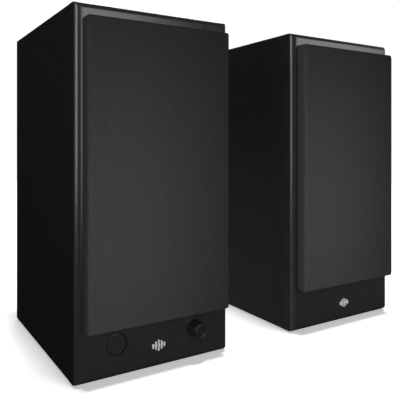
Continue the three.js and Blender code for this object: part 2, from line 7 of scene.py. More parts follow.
import bmesh
import bpy
from mathutils import Matrix, Vector
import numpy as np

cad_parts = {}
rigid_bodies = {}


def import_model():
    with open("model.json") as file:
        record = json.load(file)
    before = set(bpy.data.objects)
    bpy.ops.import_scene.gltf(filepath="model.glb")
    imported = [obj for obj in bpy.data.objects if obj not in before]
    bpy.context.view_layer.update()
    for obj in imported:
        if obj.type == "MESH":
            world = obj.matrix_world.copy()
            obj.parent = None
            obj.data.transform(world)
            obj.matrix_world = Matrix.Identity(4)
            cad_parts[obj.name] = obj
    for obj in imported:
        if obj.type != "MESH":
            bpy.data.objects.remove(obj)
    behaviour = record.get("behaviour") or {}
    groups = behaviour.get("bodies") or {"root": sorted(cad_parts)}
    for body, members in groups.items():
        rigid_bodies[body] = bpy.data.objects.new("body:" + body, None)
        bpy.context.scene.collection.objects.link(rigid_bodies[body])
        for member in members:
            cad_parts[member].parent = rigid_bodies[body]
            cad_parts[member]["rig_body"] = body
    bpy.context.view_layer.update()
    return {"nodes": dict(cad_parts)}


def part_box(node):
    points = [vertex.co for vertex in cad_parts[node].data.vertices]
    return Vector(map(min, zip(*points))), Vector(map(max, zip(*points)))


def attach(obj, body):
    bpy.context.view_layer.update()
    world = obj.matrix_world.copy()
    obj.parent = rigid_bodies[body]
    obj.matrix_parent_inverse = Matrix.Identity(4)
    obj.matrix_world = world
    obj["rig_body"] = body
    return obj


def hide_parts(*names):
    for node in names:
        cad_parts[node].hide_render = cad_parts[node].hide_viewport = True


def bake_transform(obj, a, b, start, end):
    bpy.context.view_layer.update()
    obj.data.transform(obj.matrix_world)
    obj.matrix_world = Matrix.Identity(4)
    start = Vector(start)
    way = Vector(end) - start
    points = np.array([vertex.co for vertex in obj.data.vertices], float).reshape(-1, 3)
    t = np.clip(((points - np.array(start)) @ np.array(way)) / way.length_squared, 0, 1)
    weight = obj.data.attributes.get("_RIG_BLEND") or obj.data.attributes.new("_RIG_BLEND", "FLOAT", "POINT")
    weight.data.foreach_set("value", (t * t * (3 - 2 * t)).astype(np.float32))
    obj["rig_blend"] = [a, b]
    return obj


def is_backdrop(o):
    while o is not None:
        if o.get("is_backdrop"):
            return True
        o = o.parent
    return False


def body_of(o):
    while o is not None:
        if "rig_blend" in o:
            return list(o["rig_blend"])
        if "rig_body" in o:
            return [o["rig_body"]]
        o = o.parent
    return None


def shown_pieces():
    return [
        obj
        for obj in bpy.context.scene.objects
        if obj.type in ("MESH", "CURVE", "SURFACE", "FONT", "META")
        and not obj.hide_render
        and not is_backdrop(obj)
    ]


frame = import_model()

MM = 0.001
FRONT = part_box("active_baffle")[0].y
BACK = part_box("active_cabinet")[1].y
PLATE_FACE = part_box("amp_plate")[1].y
BEHIND_PLATE = PLATE_FACE - 2.8 * MM
FINE_ROUND = 96
SMALL_ROUND = 40


# ---- Places ----

def centre_of(node):
    low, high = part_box(node)
    return (low + high) / 2


def axis_at(node, y):
    """The point at y on the line along Y through the node's middle."""
    middle = centre_of(node)
    return Vector((middle.x, y, middle.z))


def span(low, high, inset, front, back):
    """Corners of a box from front to back, inset from low and high on its other four sides."""
    return (low.x + inset, front, low.z + inset), (high.x - inset, back, high.z - inset)


def loop_at(flat, middle, y):
    """The flat (x, z) points round middle, as a loop at y."""
    return [Vector((middle.x + x, y, middle.z + z)) for x, z in flat]


# ---- Materials ----

def principled(name):
    made = bpy.data.materials.new(name)
    made.use_nodes = True
    return made, made.node_tree, made.node_tree.nodes["Principled BSDF"]


def add_node(tree, kind, inputs, operation=None):
    """A new node, each input of which, by name or number, is set to a value or linked to an output."""
    node = tree.nodes.new(kind)
    if operation is not None:
        node.operation = operation
    for key, value in inputs.items():
        if isinstance(value, bpy.types.NodeSocket):
            tree.links.new(value, node.inputs[key])
        else:
            node.inputs[key].default_value = value
    return node


def noise(tree, coordinates, scale, detail=3.0, roughness=0.55):
    inputs = {"Vector": coordinates, "Scale": scale, "Detail": detail, "Roughness": roughness}
    return add_node(tree, "ShaderNodeTexNoise", inputs).outputs["Fac"]


def remap(tree, value, low, high, from_low=0.3, from_high=0.7):
    inputs = {"Value": value, "From Min": from_low, "From Max": from_high, "To Min": low, "To Max": high}
    return add_node(tree, "ShaderNodeMapRange", inputs).outputs["Result"]


def math_node(tree, operation, *values):
    return add_node(tree, "ShaderNodeMath", dict(enumerate(values)), operation).outputs[0]


def tint(tree, value, colour, spread):
    """The colour, darker and lighter by spread where value is low and high."""
    ramp = tree.nodes.new("ShaderNodeMix")
    ramp.data_type = "RGBA"
    ramp.inputs["A"].default_value = (*[channel * (1 - spread) for channel in colour], 1)
    ramp.inputs["B"].default_value = (*[channel * (1 + spread) for channel in colour], 1)
    tree.links.new(value, ramp.inputs["Factor"])
    return ramp.outputs["Result"]


SMEARS_PER_PATCH = 2.7


def finish(name, colour, roughness, metallic=0.0, specular=0.5, coat=0.0, coat_roughness=0.03, spread=0.15,
           patch=35.0, grain=1500.0, relief=0.1, rough_spread=0.06, pattern=None, depth=0.00005):
    """A surface with patchy colour, uneven roughness and a fine grain. pattern adds to the grain's height."""
    made, tree, shader = principled(name)
    coordinates = tree.nodes.new("ShaderNodeTexCoord").outputs["Object"]
    patches = remap(tree, noise(tree, coordinates, patch), 0, 1)
    tree.links.new(tint(tree, patches, colour, spread), shader.inputs["Base Color"])
    smears = noise(tree, coordinates, patch * SMEARS_PER_PATCH, detail=5)
    low, high = max(roughness - rough_spread, 0.02), min(roughness + rough_spread, 1)
    tree.links.new(remap(tree, smears, low, high), shader.inputs["Roughness"])
    height = noise(tree, coordinates, grain, detail=2)
    if pattern is not None:
        height = math_node(tree, "ADD", height, pattern(tree, coordinates))
    bump = add_node(tree, "ShaderNodeBump", {"Strength": relief, "Distance": depth, "Height": height})
    tree.links.new(bump.outputs["Normal"], shader.inputs["Normal"])
    for socket, value in (("Metallic", metallic), ("Specular IOR Level", specular), ("Coat Weight", coat),
                          ("Coat Roughness", coat_roughness)):
        shader.inputs[socket].default_value = value
    return made


def weave(pitch):
    """A plain weave that runs over the front, the sides and the ends without a break."""
    def pattern(tree, coordinates):
        x, y, z = add_node(tree, "ShaderNodeSeparateXYZ", {"Vector": coordinates}).outputs
        turn = 2 * math.pi / pitch
        across = math_node(tree, "MULTIPLY", math_node(tree, "ADD", x, y), turn)
        upward = math_node(tree, "MULTIPLY", math_node(tree, "ADD", z, y), turn)
        warp = math_node(tree, "SINE", across)
        weft = math_node(tree, "SINE", upward)
        return math_node(tree, "MULTIPLY", warp, weft)
    return pattern


def rings(centre, pitch):
    """Turning marks round an axis along Y through centre."""
    def pattern(tree, coordinates):
        inputs = {0: coordinates, 1: (1, 0, 1), 2: (-centre.x, 0, -centre.z)}
        moved = add_node(tree, "ShaderNodeVectorMath", inputs, "MULTIPLY_ADD")
        length = add_node(tree, "ShaderNodeVectorMath", {0: moved.outputs[0]}, "LENGTH")
        turns = math_node(tree, "MULTIPLY", length.outputs["Value"], 2 * math.pi / pitch)
        return math_node(tree, "SINE", turns)
    return pattern


def brushed(scale):
    """Fine scratches along X."""
    squeeze = 0.03

    def pattern(tree, coordinates):
        inputs = {0: coordinates, 1: (squeeze, 1, 1)}
        stretched = add_node(tree, "ShaderNodeVectorMath", inputs, "MULTIPLY")
        return noise(tree, stretched.outputs[0], scale, detail=4)
    return pattern


def pebbles(scale):
    """The leathery cells pressed into a vinyl wrap."""
    height = 1.6

    def pattern(tree, coordinates):
        cells = add_node(tree, "ShaderNodeTexVoronoi", {"Vector": coordinates, "Scale": scale})
        cells.feature = "SMOOTH_F1"
        return math_node(tree, "MULTIPLY", cells.outputs["Distance"], height)
    return pattern


VINYL = finish("vinyl_wrap", (0.0044, 0.0044, 0.0045), 0.6, specular=0.1, spread=0.08, grain=2400,
               relief=0.15, pattern=pebbles(900), depth=0.00006)
PAINT = finish("baffle_paint", (0.0115, 0.0116, 0.012), 0.28, spread=0.05, grain=1800, relief=0.025,
               rough_spread=0.01)
BADGE_METAL = finish("badge_metal", (0.8, 0.8, 0.8), 0.35, metallic=0.6, spread=0.06, grain=4000,
                     relief=0.15, pattern=brushed(9000))
CLOTH = finish("grille_cloth", (0.0218, 0.0229, 0.0243), 0.93, specular=0.05, spread=0.32, patch=650,
               grain=2600, relief=0.7, pattern=weave(0.0011), depth=0.0002)
PLASTIC = finish("moulded_plastic", (0.012, 0.012, 0.0125), 0.5, specular=0.4, grain=2600, relief=0.3)
RUBBER = finish("foot_rubber", (0.01, 0.01, 0.01), 0.85, specular=0.25, grain=1600, relief=0.4)
BUTYL = finish("surround_rubber", (0.012, 0.012, 0.0125), 0.55, grain=2000, relief=0.15)
COATED_STEEL = finish("coated_steel", (0.018, 0.018, 0.019), 0.45, metallic=0.3, grain=2200, relief=0.25)
FERRITE = finish("ferrite", (0.035, 0.035, 0.037), 0.6, metallic=0.4, grain=1200, relief=0.4)
SMOKED = finish("smoked_lens", (0.013, 0.012, 0.0125), 0.24, coat=0.25, coat_roughness=0.08, spread=0.1,
                grain=900, relief=0.03, rough_spread=0.04)
PULP = finish("coated_pulp", (0.016, 0.0165, 0.018), 0.5, spread=0.25, patch=180, grain=1100, relief=0.5,
              depth=0.00012)
SILK = finish("dome_silk", (0.011, 0.011, 0.012), 0.62, grain=3200, relief=0.4, pattern=weave(0.0006))
COPPER = finish("copper_wire", (0.62, 0.3, 0.14), 0.35, metallic=1.0, grain=2000, relief=0.2)
SPIDER = finish("dipped_cloth", (0.42, 0.27, 0.08), 0.85, grain=1800, relief=0.5, pattern=weave(0.0014))
BOARD = finish("solder_mask", (0.012, 0.07, 0.028), 0.45, grain=900, relief=0.2)
STEEL = finish("turned_steel", (0.5, 0.5, 0.51), 0.3, metallic=1.0, grain=3000, relief=0.15)
POWDER = finish("powder_coat", (0.0125, 0.0125, 0.013), 0.55, specular=0.4, grain=1300, relief=0.6,
                depth=0.00006)
ANODISED = finish("black_anodised", (0.02, 0.02, 0.022), 0.38, metallic=0.75, grain=3000, relief=0.2,
                  pattern=brushed(6000))
GOLD = finish("gold_plate", (0.75, 0.55, 0.22), 0.25, metallic=1.0, spread=0.08, grain=2500, relief=0.08)
RED_PLASTIC = finish("red_plastic", (0.42, 0.008, 0.008), 0.4, grain=2600, relief=0.2)
WHITE_PLASTIC = finish("white_plastic", (0.7, 0.7, 0.68), 0.4, grain=2600, relief=0.2)
SCREW_STEEL = finish("black_screw", (0.02, 0.02, 0.021), 0.35, metallic=0.8, grain=2500, relief=0.15)
KNOB_SIDE = finish("knob_side", (0.0095, 0.0095, 0.01), 0.42, specular=0.35, grain=3200, relief=0.2)
KNOB_FACE = finish("knob_face", (0.024, 0.024, 0.025), 0.27, metallic=0.6, grain=3200, relief=0.25,
                   pattern=rings(centre_of("volume_knob"), 0.00055))


# ---- Meshes ----

def add_object(name, data):
    made = bpy.data.objects.new(name, data)
    bpy.context.scene.collection.objects.link(made)
    return made


def mesh_piece(name, points, faces, material):
    mesh = bpy.data.meshes.new(name)
    mesh.from_pydata([tuple(point) for point in points], [], faces)
    if material is not None:
        mesh.materials.append(material)
    return add_object(name, mesh)


def settle(piece):
    """Makes what the modifiers give the piece's own mesh."""
    bpy.context.view_layer.update()
    graph = bpy.context.evaluated_depsgraph_get()
    made = bpy.data.meshes.new_from_object(piece.evaluated_get(graph))
    piece.modifiers.clear()
    piece.data = made


def combine(piece, operation, others):
    """Cuts the others out of the piece or joins them to it. All face outward first, or a plug is left."""
    face_outward(piece.data)
    for other in others:
        face_outward(other.data)
        modifier = piece.modifiers.new("boolean", "BOOLEAN")
        modifier.operation = operation
        modifier.solver = "EXACT"
        modifier.object = other
    settle(piece)
    for other in others:
        bpy.data.objects.remove(other)
    return piece


def cut(piece, *cutters):
    return combine(piece, "DIFFERENCE", cutters)


def face_outward(mesh):
    """Merges doubled points and turns every face outward."""
    work = bmesh.new()
    work.from_mesh(mesh)
    bmesh.ops.remove_doubles(work, verts=work.verts, dist=1e-7)
    bmesh.ops.recalc_face_normals(work, faces=work.faces)
    work.to_mesh(mesh)
    work.free()


def place(piece, body, slot, *replaced, sharp=32):
    """Shades the piece smooth up to its edges, and puts it on its body in place of its CAD nodes."""
    face_outward(piece.data)
    piece.data.shade_smooth()
    piece.data.set_sharp_from_angle(angle=math.radians(sharp))
    weighted = piece.modifiers.new("even shading", "WEIGHTED_NORMAL")
    weighted.keep_sharp = True
    weighted.weight = 90
    settle(piece)
    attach(piece, body)
    if replaced:
        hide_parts(*replaced)
    return piece


def softened(profile, radius, closed):
    """The profile, in millimetres, with each corner that has room for it rounded to about radius."""
    most_of_side, least_reach, steps = 0.45, 0.02, 4
    nearly_straight = math.radians(165)
    count = len(profile)
    points = []
    for i, corner in enumerate(profile):
        at = Vector(corner)
        if not closed and i in (0, count - 1):
            points.append(at)
            continue
        before, after = Vector(profile[i - 1]) - at, Vector(profile[(i + 1) % count]) - at
        reach = min(radius, before.length * most_of_side, after.length * most_of_side)
        straight = before.angle(after, math.pi) > nearly_straight
        if straight or reach < least_reach:
            points.append(at)
            continue
        start, end = at + before.normalized() * reach, at + after.normalized() * reach
        for step in range(steps + 1):
            t = step / steps
            points.append(start * (1 - t) ** 2 + at * 2 * t * (1 - t) + end * t * t)
    return points


def turned(name, profile, axis, material, edge=0.25, segments=FINE_ROUND, teeth=0, knurl=0.0, knurl_from=0.0,
           arc=(0.0, 1.0)):
    """Turns (radius, depth) points in millimetres round an axis along Y through axis, where depth is 0.
    The profile closes on itself or on the axis. Teeth cut shallow flutes outside knurl_from.
    arc is the share of a turn, from and to."""
    closed = profile[0][0] > 0
    whole = arc == (0.0, 1.0)
    columns = segments if whole else segments + 1
    points, loops = [], []
    for radius, depth in softened(profile, edge, closed):
        if radius < 1e-6:
            loops.append([len(points)])
            points.append(axis + Vector((0, depth, 0)) * MM)
            continue
        loop = []
        for column in range(columns):
            angle = 2 * math.pi * (arc[0] + (arc[1] - arc[0]) * column / segments)
            bite = knurl * (0.5 - 0.5 * math.cos(teeth * angle)) if radius > knurl_from else 0
            reach = radius - bite
            loop.append(len(points))
            points.append(axis + Vector((reach * math.cos(angle), depth, reach * math.sin(angle))) * MM)
        loops.append(loop)
    pairs = list(zip(loops, loops[1:]))
    if closed:
        pairs.append((loops[-1], loops[0]))
    faces = []
    for first, second in pairs:
        for i in range(segments):
            j = (i + 1) % columns
            near = first[i % len(first)], first[j % len(first)]
            far = second[j % len(second)], second[i % len(second)]
            faces.append(tuple(dict.fromkeys((*near, *far))))
    return mesh_piece(name, points, faces, material)


def rod(radius, start, end, at, segments=FINE_ROUND):
    """A plain round cutter along Y through at. Sizes in metres."""
    axis = Vector((at.x, 0, at.z))
    profile = [(0, start / MM), (radius / MM, start / MM), (radius / MM, end / MM), (0, end / MM)]
    return turned("cutter", profile, axis, None, edge=0, segments=segments)


def brick(low, high, name="cutter", material=None):
    corners = [(x, y, z) for x in (low[0], high[0]) for y in (low[1], high[1]) for z in (low[2], high[2])]
    faces = [(0, 1, 3, 2), (4, 6, 7, 5), (0, 4, 5, 1), (2, 3, 7, 6), (0, 2, 6, 4), (1, 5, 7, 3)]
    piece = mesh_piece(name, corners, faces, material)
    face_outward(piece.data)
    return piece


def bevelled(piece, width, segments=3, angle=30):
    bevel = piece.modifiers.new("edges", "BEVEL")
    bevel.width = width
    bevel.segments = segments
    bevel.limit_method = "ANGLE"
    bevel.angle_limit = math.radians(angle)
    settle(piece)
    return piece


def block(name, low, high, material, edge=0.4 * MM):
    return bevelled(brick(low, high, name, material), edge)


def outline(width, height, corner, steps=8):
    """Points round a rectangle with round corners, counter-clockwise as (x, z)."""
    sharpest = 0.02 * MM
    corner = max(corner, sharpest)
    points = []
    for quarter, (sx, sz) in enumerate(((1, 1), (-1, 1), (-1, -1), (1, -1))):
        for step in range(steps + 1):
            angle = math.pi / 2 * (quarter + step / steps)
            x = sx * (width / 2 - corner) + corner * math.cos(angle)
            points.append((x, sz * (height / 2 - corner) + corner * math.sin(angle)))
    return points


def skin(name, loops, material, caps=True):
    """Joins equal loops of points into a surface, closed at both ends if caps."""
    count = len(loops[0])
    points = [point for loop in loops for point in loop]
    faces = []
    for level in range(len(loops) - 1):
        for i in range(count):
            j = (i + 1) % count
            base, above = level * count, (level + 1) * count
            faces.append((base + i, base + j, above + j, above + i))
    if caps:
        faces.append(tuple(range(count)))
        faces.append(tuple(range(len(points) - count, len(points))))
    return mesh_piece(name, points, faces, material)


def slab_loops(low, high, corner, front_edge, back_edge=0.0, steps=10, front_corner=0.0, rise=1.0):
    """Loops of a panel that faces -Y, with its front and back rims rounded over.
    front_corner rounds its corners off half way round the front edge, and leaves them crisper elsewhere.
    rise is the round-over's reach over the top and bottom, as a share of its reach over the sides."""
    on_face = 0.3
    middle = (low + high) / 2
    width, height = high.x - low.x, high.z - low.z

    def loop(inset, y, least=0.0):
        flat = outline(width - 2 * inset, height - 2 * inset * rise, max(corner - inset, least))
        return loop_at(flat, middle, y)

    angles = [math.pi / 2 * step / steps for step in range(steps + 1)]
    loops = []
    for angle in angles:
        least = front_corner * (math.sin(2 * angle) + on_face * math.cos(angle))
        inset, deep = front_edge * (1 - math.sin(angle)), front_edge * (1 - math.cos(angle))
        loops.append(loop(inset, low.y + deep, least))
    if not back_edge:
        return [*loops, loop(0, high.y)]
    for angle in angles:
        inset, deep = back_edge * (1 - math.cos(angle)), back_edge * (1 - math.sin(angle))
        loops.append(loop(inset, high.y - deep))
    return loops


def joined(name, pieces):
    """One mesh from several, in their own places, with each one's material."""
    work = bmesh.new()
    materials = []
    for piece in pieces:
        for material in piece.data.materials:
            if material not in materials:
                materials.append(material)
    for piece in pieces:
        first = len(work.faces)
        work.from_mesh(piece.data)
        work.faces.ensure_lookup_table()
        index = materials.index(piece.data.materials[0])
        for face in work.faces[first:]:
            face.material_index = index
    mesh = bpy.data.meshes.new(name)
    work.to_mesh(mesh)
    work.free()
    for material in materials:
        mesh.materials.append(material)
    for piece in pieces:
        bpy.data.objects.remove(piece)
    return add_object(name, mesh)


# ---- Screws ----

def screw_mesh(radius):
    """A pan head with a cross recess, facing -Y with its seat at the origin."""
    size = radius / MM
    head = turned("screw_pattern", [
        (0, -0.5 * size), (0.55 * size, -0.46 * size), (0.88 * size, -0.26 * size), (size, 0), (0, 0),
    ], Vector(), SCREW_STEEL, edge=0.15 * size, segments=24)
    long, short, deep = 0.5 * radius, 0.1 * radius, 0.28 * radius
    top = -0.6 * radius
    across = brick((-long, top, -short), (long, top + deep + 0.1 * radius, short))
    upright = brick((-short, top - 0.01 * radius, -long), (short, top + deep + 0.09 * radius, long))
    return cut(head, across, upright)


def screws(name, places, radius, body, slot, facing_back=False):
    """Screws at places, heads facing forward, or backward, each turned a little differently."""
    first_turn, next_turn = 0.7, 1.9
    pattern = screw_mesh(radius)
    copies = []
    for i, at in enumerate(places):
        copy = add_object("screw", pattern.data.copy())
        spin = Matrix.Rotation(first_turn + next_turn * i, 4, "Y")
        flip = Matrix.Rotation(math.pi if facing_back else 0, 4, "Z")
        copy.data.transform(Matrix.Translation(at) @ flip @ spin)
        copies.append(copy)
    bpy.data.objects.remove(pattern)
    return place(joined(name, copies), body, slot)


def on_circle(axis, radius, count, y, start=0.0):
    """Places round an axis along Y, the first one start of a turn on from +X."""
    angles = [2 * math.pi * (start + i / count) for i in range(count)]
    return loop_at([(radius * math.cos(angle), radius * math.sin(angle)) for angle in angles], axis, y)


# ---- Enclosure ----

WALL = 12 * MM
PORT_HOLE = 28 * MM
GRILLE_SOCKET = 3.4 * MM
PEG_LOW = 64 * MM
PEG_HIGH = 326 * MM
PEG_INSET = 5.4 * MM
ROUND_OVER = 8.5 * MM
ROUND_OVER_RISE = 0.78


def cabinet(side, opening):
    low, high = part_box(f"{side}_cabinet")
    edge, front_edge = 1.2 * MM, 0.1 * MM
    shell = skin(f"{side}_cabinet_wrap", slab_loops(low, high, edge, front_edge, edge, steps=4), VINYL)
    hollow = brick(*span(low, high, WALL, low.y - WALL, high.y - WALL))
    port_hole = rod(PORT_HOLE, high.y - 2 * WALL, high.y + WALL, centre_of(f"{side}_port_tube"))
    cut(shell, hollow, port_hole, brick(*opening))
    return place(shell, f"{side}_speaker", "cabinet_wrap", f"{side}_cabinet")


def rear_opening(node, inset):
    """The hole that a rear plate covers, as low and high corners."""
    return span(*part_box(node), inset, BACK - 2 * WALL, BACK + WALL)


def baffle(side):
    low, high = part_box(f"{side}_baffle")
    loops = slab_loops(low, high, 0.8 * MM, ROUND_OVER, steps=12, front_corner=2.4 * MM, rise=ROUND_OVER_RISE)
    panel = skin(f"{side}_front_panel", loops, PAINT)
    front, back = low.y - 5 * MM, high.y + 5 * MM
    holes = driver_holes(side, low.y, front, back) + peg_holes(side, low.y, front)
    if side == "active":
        holes += control_holes(low.y, front, back)
    cut(panel, *holes)
    wrap_flanks(panel, low, high)
    return place(panel, f"{side}_speaker", "baffle_paint", f"{side}_baffle")


def driver_holes(side, face, front, back):
    """For each driver, a seat for its flange and a hole for its body."""
    seat = face + 4.3 * MM
    holes = []
    for node, flange, body in (("woofer_cone", 67.4 * MM, 58.6 * MM), ("tweeter_dome", 48.4 * MM, 35.5 * MM)):
        at = centre_of(f"{side}_{node}")
        holes += [rod(flange, front, seat, at), rod(body, front, back, at)]
    return holes


def peg_holes(side, face, front):
    low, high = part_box(f"{side}_grille_frame")
    bottom = face + 11 * MM
    return [rod(GRILLE_SOCKET, front, bottom, Vector((x, 0, z)), SMALL_ROUND)
            for x in (low.x + PEG_INSET, high.x - PEG_INSET) for z in (PEG_LOW, PEG_HIGH)]


def control_holes(face, front, back):
    """Holes for the sensor's lens and the knob's shaft, and a pocket for the board behind them."""
    lens_hole, shaft_hole, skin_left = 10.75 * MM, 5.2 * MM, 5 * MM
    low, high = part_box("control_board")
    margin = Vector((4, 0, 2)) * MM
    low, high = low - margin, high + margin
    return [
        rod(lens_hole, front, back, centre_of("sensor_window")),
        rod(shaft_hole, front, back, centre_of("volume_knob"), SMALL_ROUND),
        brick((low.x, face + skin_left, low.z), (high.x, back, high.z)),
    ]


def wrap_flanks(panel, low, high):
    """The cabinet's wrap runs on over the panel's outer sides and just into the round-over."""
    panel.data.materials.append(VINYL)
    near, sideways = 0.6 * MM, 0.4
    for face in panel.data.polygons:
        at = face.center
        outer = min(at.x - low.x, high.x - at.x, at.z - low.z, high.z - at.z) < near
        if outer and abs(face.normal.y) < sideways:
            face.material_index = 1


def badge(side):
    """A plain mark: five round-ended bars on a fine line."""
    low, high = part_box(f"{side}_badge")
    middle = (low + high) / 2
    heights = (0.42, 0.74, 1.0, 0.74, 0.42)
    width, tall = high.x - low.x, high.z - low.z
    bar = 1.9 * MM
    pitch = (width - bar) / (len(heights) - 1)
    bars = []
    for i, share in enumerate(heights):
        x = low.x + i * pitch
        half = share * tall / 2
        corners = Vector((x, low.y, middle.z - half)), Vector((x + bar, high.y, middle.z + half))
        bars.append(skin("bar", slab_loops(*corners, 0.9 * MM, 0.45 * MM, steps=4), BADGE_METAL))
    line = (low.x, low.y + 0.5 * MM, middle.z - 0.5 * MM), (high.x, high.y, middle.z + 0.5 * MM)
    bars.append(block("line", *line, BADGE_METAL, 0.15 * MM))
    return place(joined(f"{side}_badge_mark", bars), f"{side}_speaker", "badge_metal", f"{side}_badge")


def feet(side):
    for corner in ("front_left", "front_right", "rear_left", "rear_right"):
        node = f"{side}_foot_{corner}"
        low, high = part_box(node)
        middle = (low + high) / 2
        radius = (high.x - low.x) / 2 / MM
        tall = (high.z - low.z) / MM
        profile = [(0, 0), (radius, 0), (radius, tall), (0, tall)]
        foot = turned(f"{node}_pad", profile, Vector(), RUBBER, edge=0.5)
        upright = Matrix.Rotation(math.pi / 2, 4, "X")
        foot.data.transform(Matrix.Translation((middle.x, middle.y, low.z)) @ upright)
        place(foot, f"{side}_speaker", "foot_rubber", node)


def port(side):
    """The duct, flared at its mouth and held by four screws through its flange."""
    axis = axis_at(f"{side}_port_tube", BACK)
    tube = turned(f"{side}_port_duct", [
        (22, -95), (22, -12), (22.4, -8), (23.4, -4), (25, -0.5), (27.5, 2.1), (29, 2.75), (33, 2.6),
        (33, 0.25), (27.5, 0.25), (27.5, -9), (24.5, -12), (24.5, -95),
    ], axis, PLASTIC, edge=0.8)
    place(tube, f"{side}_speaker", "moulded_black", f"{side}_port_tube")
    seats = on_circle(axis, 30.6 * MM, 4, BACK + 2.7 * MM, start=0.125)
    screws(f"{side}_port_screws", seats, 1.7 * MM, f"{side}_speaker", "moulded_black", facing_back=True)


# ---- Grille ----

GRILLE_CORNER = 2.6 * MM
GRILLE_EDGE = 4 * MM
CLOTH_THICKNESS = 0.55 * MM
CLOTH_GIVE = 0.35 * MM


def grille(side):
    """Cloth in one sheet, drawn tight over the frame's front and sides, sinking in a little between bars."""
    low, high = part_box(f"{side}_grille_cloth")
    margin = 0.05 * MM
    low, high = low + Vector((margin, margin, margin)), high - Vector((margin, 0, margin))
    rim = slab_loops(low, high, GRILLE_CORNER, GRILLE_EDGE, steps=10, front_corner=GRILLE_CORNER)
    cloth = skin(f"{side}_cloth", front_loops(rim[0], low, high) + rim, CLOTH, caps=False)
    spine_closed(cloth, len(rim[0]))
    thick = cloth.modifiers.new("thickness", "SOLIDIFY")
    thick.thickness = CLOTH_THICKNESS
    thick.offset = -1
    face_outward(cloth.data)
    place(cloth, f"{side}_grille", "grille_fabric", f"{side}_grille_cloth", sharp=60)
    repaint(f"{side}_grille_frame", PLASTIC)


def front_loops(edge, low, high, levels=26):
    """The cloth's front, as loops that shrink from its edge to a slit up the middle, innermost first."""
    middle = (low + high) / 2
    width, height = high.x - low.x - 2 * GRILLE_EDGE, high.z - low.z - 2 * GRILLE_EDGE
    loops = []
    for level in range(1, levels):
        share = 1 - level / levels
        loop = []
        for point in edge:
            x = middle.x + (point.x - middle.x) * share
            z = middle.z + (point.z - middle.z) * (1 - (1 - share) * width / height)
            loop.append(Vector((x, low.y + sink(x - middle.x, z - middle.z, width, height), z)))
        loops.append(loop)
    return loops[::-1]


def sink(x, z, width, height):
    """How far the cloth gives, most in the middle of each half."""
    across = math.cos(math.pi * max(-0.5, min(0.5, x / width)))
    along = abs(math.sin(2 * math.pi * max(-0.5, min(0.5, z / height))))
    return CLOTH_GIVE * across * along


def spine_closed(cloth, count):
    """Fills the narrow slit that the shrinking loops leave up the middle."""
    cloth.data.polygons.add(1)
    face = cloth.data.polygons[-1]
    cloth.data.loops.add(count)
    face.loop_start = len(cloth.data.loops) - count
    for i in range(count):
        cloth.data.loops[face.loop_start + i].vertex_index = i
    cloth.data.update(calc_edges=True)


def repaint(node, material):
    """Gives a CAD node that stays its finish."""
    materials = frame["nodes"][node].data.materials
    materials.clear()
    materials.append(material)


# ---- Woofer ----

def stretched_ring(name, profile, axis, material, bodies, node, inner, outer, depth, sectors=12):
    """A soft ring between a fixed and a moving edge, in sectors that each bend along their own radius."""
    for sector in range(sectors):
        arc = (sector / sectors, (sector + 1) / sectors)
        part = turned(f"{name}_{sector + 1:02d}", profile, axis, material, edge=0.3, segments=8, arc=arc)
        face_outward(part.data)
        part.data.shade_smooth()
        angle = math.pi * (arc[0] + arc[1])
        out = Vector((math.cos(angle), 0, math.sin(angle)))
        base = axis + Vector((0, depth * MM, 0))
        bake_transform(part, *bodies, start=base + out * outer * MM, end=base + out * inner * MM)
        if sector == 0:
            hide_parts(node)


def roll_profile():
    """A half roll, 4.2 mm high, with flat feet on both sides."""
    middle, steps = 52, 12
    inner, outer, outside, inside = 45.5, 59.7, 4.2, 3.5
    top, bottom = 0.8, 1.3

    def arch(radius, seat):
        turns = [math.pi * (1 - i / steps) for i in range(steps + 1)]
        return [(middle + radius * math.cos(t), seat - radius * math.sin(t)) for t in turns]

    return [(inner, top), *arch(outside, top), (outer, top),
            (outer, bottom), *arch(inside, bottom)[::-1], (inner, bottom)]


def spider_profile():
    """Four waves across, with six points to each."""
    inner, outer, steps, steps_per_wave = 19.7, 43.8, 24, 6
    seat, height, thickness = 30, 0.7, 0.8
    line = []
    for i in range(steps + 1):
        wave = 1 - math.cos(2 * math.pi * i / steps_per_wave)
        line.append((inner + (outer - inner) * i / steps, seat + height * wave))
    return line + [(radius, depth + thickness) for radius, depth in reversed(line)]


def woofer_basket(side, axis):
    """The frame, with three slots right through that leave six struts."""
    basket = turned(f"{side}_woofer_frame", [
        (56.4, 1.5), (60, 1.5), (60, 0), (67, 0), (67, 4), (58, 4), (58, 12), (42, 44),
        (21, 44), (21, 41), (40, 41), (56.4, 11),
    ], axis, COATED_STEEL, edge=0.7)
    slots = []
    for i in range(3):
        slot = brick((-70 * MM, 14 * MM, -15 * MM), (70 * MM, 27 * MM, 15 * MM))
        slot.data.transform(Matrix.Translation(axis) @ Matrix.Rotation(math.pi * i / 3, 4, "Y"))
        slots.append(slot)
    cut(basket, *slots)
    place(basket, f"{side}_speaker", "driver_steel", f"{side}_woofer_basket")


